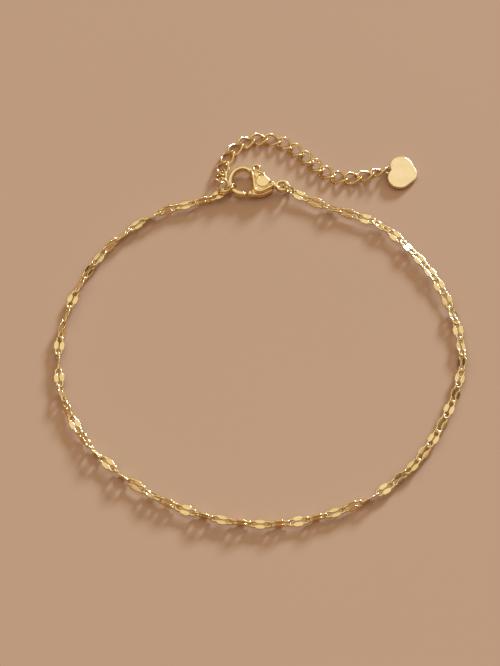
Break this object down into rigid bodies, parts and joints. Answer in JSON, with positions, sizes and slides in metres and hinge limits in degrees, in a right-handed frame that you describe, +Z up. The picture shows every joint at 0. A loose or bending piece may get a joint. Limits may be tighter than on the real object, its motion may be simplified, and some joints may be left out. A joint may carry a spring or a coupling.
{
  "type": "anklet",
  "caption": "Thin metal anklet lying closed in a round loop: lip chain, lobster clasp with a sprung lever, jump rings, curb extender and a heart tag.",
  "frame": {"origin": "middle of the anklet's box, on the surface that it lies on", "axes": "+Z up from the surface, +Y from the loop towards the clasp and the extender, +X from the hook towards the tag"},
  "size_m": [0.0736, 0.0822, 0.0027],
  "materials": {
    "gold_plate": "polished gold plate",
    "satin_gold_plate": "satin gold plate"
  },
  "bodies": {
    "anklet": {"lip_chain": "gold_plate", "clasp_body": "gold_plate", "clasp_rivet": "gold_plate", "hook_jump_ring": "gold_plate", "eye_jump_ring": "gold_plate", "extender_link_01": "gold_plate", "extender_link_02": "gold_plate", "extender_link_03": "gold_plate", "extender_link_04": "gold_plate", "extender_link_05": "gold_plate", "extender_link_06": "gold_plate", "extender_link_07": "gold_plate", "extender_link_08": "gold_plate", "extender_link_09": "gold_plate", "extender_link_10": "gold_plate", "extender_link_11": "gold_plate", "extender_link_12": "gold_plate", "extender_link_13": "gold_plate", "extender_link_14": "gold_plate", "extender_link_15": "gold_plate", "extender_link_16": "gold_plate", "extender_link_17": "gold_plate", "heart_tag": "satin_gold_plate"},
    "lever": {"clasp_lever": "gold_plate"}
  },
  "joints": [
    {"name": "lever_hinge", "type": "hinge", "parent": "anklet", "child": "lever", "pos_m": [0.00052, 0.02947, 0.0012], "axis": [0, 0, -1], "range_deg": [0, 30], "stiffness_Nm_per_rad": 0.0005}
  ]
}
